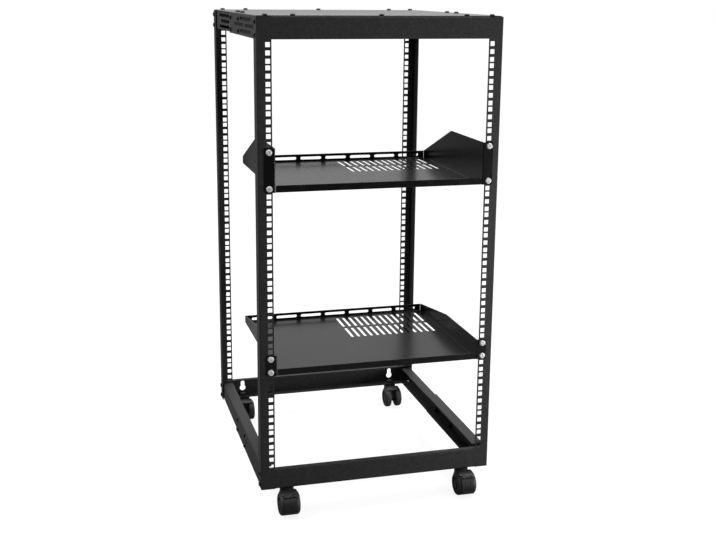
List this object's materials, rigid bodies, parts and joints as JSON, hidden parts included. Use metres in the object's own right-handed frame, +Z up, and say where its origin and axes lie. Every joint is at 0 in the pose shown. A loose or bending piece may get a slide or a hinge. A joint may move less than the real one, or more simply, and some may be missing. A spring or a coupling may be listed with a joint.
{
  "type": "open-frame server rack",
  "caption": "Open four-post 19-inch server rack in black steel, with square mounting holes, bolted shelves, a closed top cover and swivel casters.",
  "frame": {"origin": "on the floor under the centre of the whole rack, casters included", "axes": "+X to the right seen from the front, +Y to the back, +Z up"},
  "size_m": [0.5166, 0.6132, 1.0418],
  "materials": {
    "frame_coat": "black powder coat, fine texture, satin",
    "rail_coat": "black powder coat, fine texture, satin",
    "cover_coat": "black powder coat, fine texture, satin",
    "shelf_coat": "black powder coat, fine texture, satin",
    "black_screw": "black oxide, satin",
    "bright_screw": "bright nickel plate",
    "zinc_steel": "zinc plate",
    "caster_nylon": "moulded black nylon",
    "pedal_nylon": "moulded black nylon",
    "wheel_nylon": "moulded black nylon, worn tread"
  },
  "bodies": {
    "frame": {"post_front_left": "frame_coat", "post_front_right": "frame_coat", "post_rear_left": "frame_coat", "post_rear_right": "frame_coat", "beam_front_top": "frame_coat", "beam_front_bottom": "frame_coat", "beam_rear_top": "frame_coat", "beam_rear_bottom": "frame_coat", "rail_front_left_top": "rail_coat", "rail_front_right_top": "rail_coat", "rail_rear_left_top": "rail_coat", "rail_rear_right_top": "rail_coat", "rail_front_left_bottom": "rail_coat", "rail_front_right_bottom": "rail_coat", "rail_rear_left_bottom": "rail_coat", "rail_rear_right_bottom": "rail_coat", "rail_shims": "rail_coat", "rail_end_screws": "black_screw", "rail_end_nuts": "black_screw", "rail_joint_screws": "black_screw", "rail_joint_nuts": "black_screw", "top_cover": "cover_coat", "cover_screws": "black_screw", "cover_nuts": "black_screw", "upper_shelf": "shelf_coat", "lower_shelf": "shelf_coat", "shelf_screws": "bright_screw", "shelf_cage_nuts": "zinc_steel", "caster_front_left_stud": "black_screw", "caster_front_right_stud": "black_screw", "caster_rear_left_stud": "black_screw", "caster_rear_right_stud": "black_screw", "caster_nuts": "black_screw"},
    "caster_front_left": {"caster_front_left_body": "caster_nylon", "caster_front_left_axle": "zinc_steel", "caster_front_left_brake_pin": "zinc_steel"},
    "caster_front_left_wheel_left": {"caster_front_left_wheel_left": "wheel_nylon"},
    "caster_front_left_wheel_right": {"caster_front_left_wheel_right": "wheel_nylon"},
    "caster_front_left_brake_pedal": {"caster_front_left_brake_pedal": "pedal_nylon"},
    "caster_front_right": {"caster_front_right_body": "caster_nylon", "caster_front_right_axle": "zinc_steel", "caster_front_right_brake_pin": "zinc_steel"},
    "caster_front_right_wheel_left": {"caster_front_right_wheel_left": "wheel_nylon"},
    "caster_front_right_wheel_right": {"caster_front_right_wheel_right": "wheel_nylon"},
    "caster_front_right_brake_pedal": {"caster_front_right_brake_pedal": "pedal_nylon"},
    "caster_rear_left": {"caster_rear_left_body": "caster_nylon", "caster_rear_left_axle": "zinc_steel"},
    "caster_rear_left_wheel_left": {"caster_rear_left_wheel_left": "wheel_nylon"},
    "caster_rear_left_wheel_right": {"caster_rear_left_wheel_right": "wheel_nylon"},
    "caster_rear_right": {"caster_rear_right_body": "caster_nylon", "caster_rear_right_axle": "zinc_steel"},
    "caster_rear_right_wheel_left": {"caster_rear_right_wheel_left": "wheel_nylon"},
    "caster_rear_right_wheel_right": {"caster_rear_right_wheel_right": "wheel_nylon"}
  },
  "joints": [
    {"name": "front_left_swivel", "type": "hinge", "parent": "frame", "child": "caster_front_left", "pos_m": [-0.198, -0.25544, 0.0547], "axis": [0, 0, 1], "continuous": true},
    {"name": "front_left_wheel_left_spin", "type": "hinge", "parent": "caster_front_left", "child": "caster_front_left_wheel_left", "pos_m": [-0.198, -0.27744, 0.025], "axis": [1, 0, 0], "continuous": true},
    {"name": "front_left_wheel_right_spin", "type": "hinge", "parent": "caster_front_left", "child": "caster_front_left_wheel_right", "pos_m": [-0.198, -0.27744, 0.025], "axis": [1, 0, 0], "continuous": true},
    {"name": "front_left_brake", "type": "hinge", "parent": "caster_front_left", "child": "caster_front_left_brake_pedal", "pos_m": [-0.198, -0.29621, 0.04737], "axis": [-1, 0, 0], "range_deg": [0, 20]},
    {"name": "front_right_swivel", "type": "hinge", "parent": "frame", "child": "caster_front_right", "pos_m": [0.198, -0.25544, 0.0547], "axis": [0, 0, 1], "continuous": true},
    {"name": "front_right_wheel_left_spin", "type": "hinge", "parent": "caster_front_right", "child": "caster_front_right_wheel_left", "pos_m": [0.198, -0.27744, 0.025], "axis": [1, 0, 0], "continuous": true},
    {"name": "front_right_wheel_right_spin", "type": "hinge", "parent": "caster_front_right", "child": "caster_front_right_wheel_right", "pos_m": [0.198, -0.27744, 0.025], "axis": [1, 0, 0], "continuous": true},
    {"name": "front_right_brake", "type": "hinge", "parent": "caster_front_right", "child": "caster_front_right_brake_pedal", "pos_m": [0.198, -0.29621, 0.04737], "axis": [-1, 0, 0], "range_deg": [0, 20]},
    {"name": "rear_left_swivel", "type": "hinge", "parent": "frame", "child": "caster_rear_left", "pos_m": [-0.198, 0.29156, 0.0547], "axis": [0, 0, 1], "continuous": true},
    {"name": "rear_left_wheel_left_spin", "type": "hinge", "parent": "caster_rear_left", "child": "caster_rear_left_wheel_left", "pos_m": [-0.198, 0.26956, 0.025], "axis": [1, 0, 0], "continuous": true},
    {"name": "rear_left_wheel_right_spin", "type": "hinge", "parent": "caster_rear_left", "child": "caster_rear_left_wheel_right", "pos_m": [-0.198, 0.26956, 0.025], "axis": [1, 0, 0], "continuous": true},
    {"name": "rear_right_swivel", "type": "hinge", "parent": "frame", "child": "caster_rear_right", "pos_m": [0.198, 0.29156, 0.0547], "axis": [0, 0, 1], "continuous": true},
    {"name": "rear_right_wheel_left_spin", "type": "hinge", "parent": "caster_rear_right", "child": "caster_rear_right_wheel_left", "pos_m": [0.198, 0.26956, 0.025], "axis": [1, 0, 0], "continuous": true},
    {"name": "rear_right_wheel_right_spin", "type": "hinge", "parent": "caster_rear_right", "child": "caster_rear_right_wheel_right", "pos_m": [0.198, 0.26956, 0.025], "axis": [1, 0, 0], "continuous": true}
  ]
}
